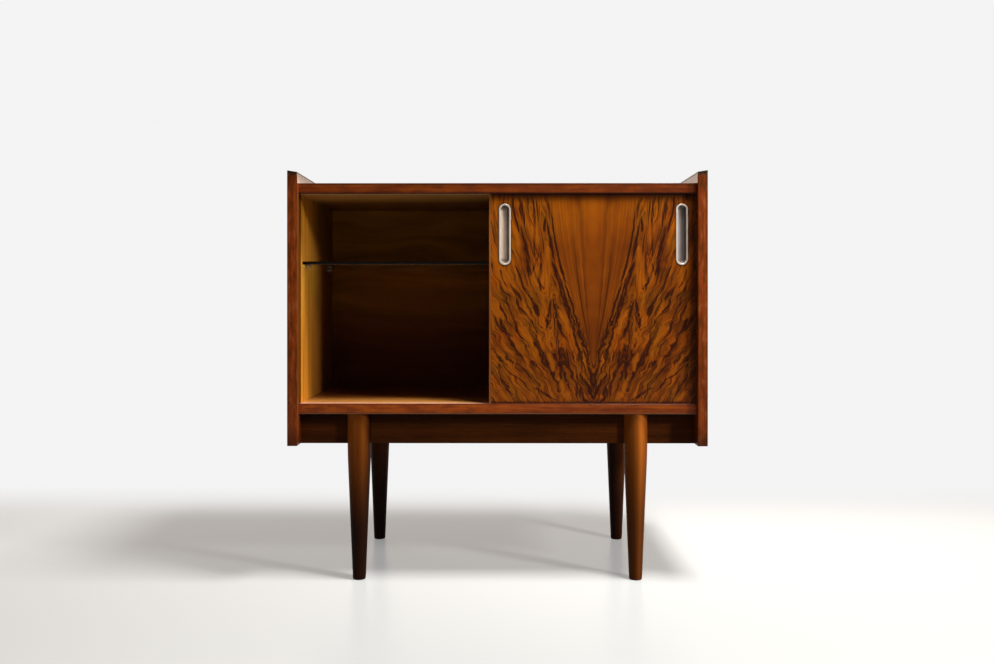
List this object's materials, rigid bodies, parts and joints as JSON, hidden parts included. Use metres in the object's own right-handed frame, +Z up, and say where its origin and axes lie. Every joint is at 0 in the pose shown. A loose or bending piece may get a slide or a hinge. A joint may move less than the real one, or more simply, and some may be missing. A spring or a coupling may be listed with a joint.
{
  "type": "bar cabinet with sliding doors",
  "caption": "Low bar cabinet on turned tapered legs, with sliding figured-wood doors on recessed pulls, raised sides and an inner glass shelf.",
  "frame": {"origin": "on the floor, under the middle of the cabinet", "axes": "+X to the right along the width, +Y from the front to the back, +Z up"},
  "size_m": [0.8, 0.4, 0.7878],
  "materials": {
    "walnut_veneer": "satin lacquered walnut veneer outside, pale veneer inside",
    "walnut_solid": "satin lacquered solid walnut",
    "figured_walnut": "satin lacquered book-matched figured veneer",
    "door_lipping": "satin lacquered solid strip",
    "pale_hardwood": "plain pale hardwood",
    "back_board": "stained plywood",
    "dark_stain": "dark stained wood",
    "leg_stain": "satin lacquered turned wood",
    "shelf_glass": "clear float glass with ground edges",
    "satin_metal": "satin pressed metal",
    "pin_steel": "plain steel"
  },
  "bodies": {
    "carcass": {"left_side_panel": "walnut_veneer", "right_side_panel": "walnut_veneer", "top_panel": "walnut_veneer", "bottom_panel": "walnut_veneer", "left_front_stile": "walnut_solid", "right_front_stile": "walnut_solid", "left_side_top_lipping": "walnut_solid", "right_side_top_lipping": "walnut_solid", "top_lipping": "walnut_solid", "bottom_lipping": "walnut_solid", "top_track_rail": "pale_hardwood", "bottom_track_rail": "pale_hardwood", "apron_glue_blocks": "pale_hardwood", "carcass_dowels": "pale_hardwood", "apron_dowels": "pale_hardwood", "back_panel": "back_board", "front_apron": "dark_stain", "rear_apron": "dark_stain", "leg_front_left": "leg_stain", "leg_front_right": "leg_stain", "leg_rear_left": "leg_stain", "leg_rear_right": "leg_stain", "glass_shelf": "shelf_glass", "shelf_pins": "pin_steel", "leg_screws": "pin_steel", "back_panel_nails": "pin_steel"},
    "right_door": {"right_door_panel": "figured_walnut", "right_door_lippings": "door_lipping", "right_door_pull_left": "satin_metal", "right_door_pull_right": "satin_metal"},
    "left_door": {"left_door_panel": "figured_walnut", "left_door_lippings": "door_lipping", "left_door_pull_left": "satin_metal", "left_door_pull_right": "satin_metal"}
  },
  "joints": [
    {"name": "right_door_slide", "type": "slide", "parent": "carcass", "child": "right_door", "axis": [-1, 0, 0], "range_m": [0, 0.3687]},
    {"name": "left_door_slide", "type": "slide", "parent": "carcass", "child": "left_door", "axis": [-1, 0, 0], "range_m": [0, 0.3687]}
  ]
}
